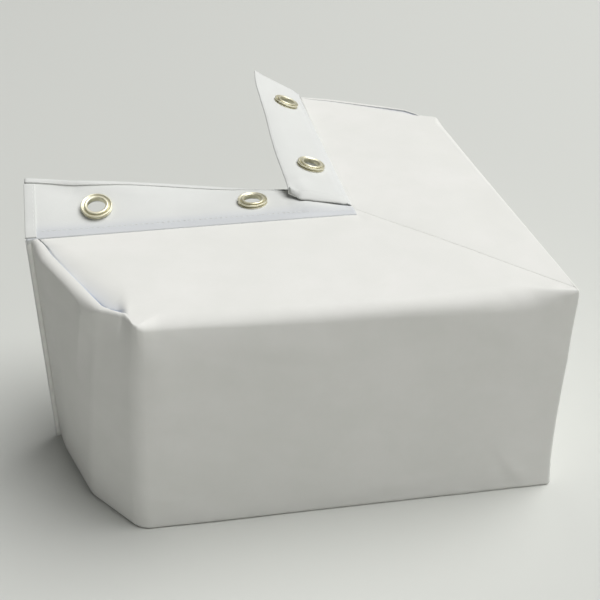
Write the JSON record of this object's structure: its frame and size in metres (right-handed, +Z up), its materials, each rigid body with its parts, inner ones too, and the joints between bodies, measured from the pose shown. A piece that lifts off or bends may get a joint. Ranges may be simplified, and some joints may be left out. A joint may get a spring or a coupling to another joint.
{
  "type": "dock corner bumper",
  "caption": "Right-angled foam corner bumper in a sewn vinyl-coated cover, with flanges and brass grommets that fasten it over the edge of a dock.",
  "frame": {"origin": "on the floor, under the middle of the bumper's bounding box", "axes": "+Z up through the top sheet; the outer faces look towards -Y and +X, and the dock corner between the legs opens towards -X and +Y"},
  "size_m": [0.317, 0.317, 0.1747],
  "materials": {
    "vinyl": "white vinyl-coated fabric, satin",
    "lining": "white vinyl-coated fabric, satin",
    "foam": "closed-cell foam",
    "brass": "pale polished brass"
  },
  "bodies": {
    "root": {"foam_core": "foam", "left_wrap_panel": "vinyl", "right_wrap_panel": "vinyl", "bottom_panel": "vinyl", "left_back_panel": "lining", "right_back_panel": "lining", "left_eyelet_1": "brass", "left_eyelet_2": "brass", "right_eyelet_1": "brass", "right_eyelet_2": "brass", "left_washer_1": "brass", "left_washer_2": "brass", "right_washer_1": "brass", "right_washer_2": "brass"}
  },
  "joints": []
}
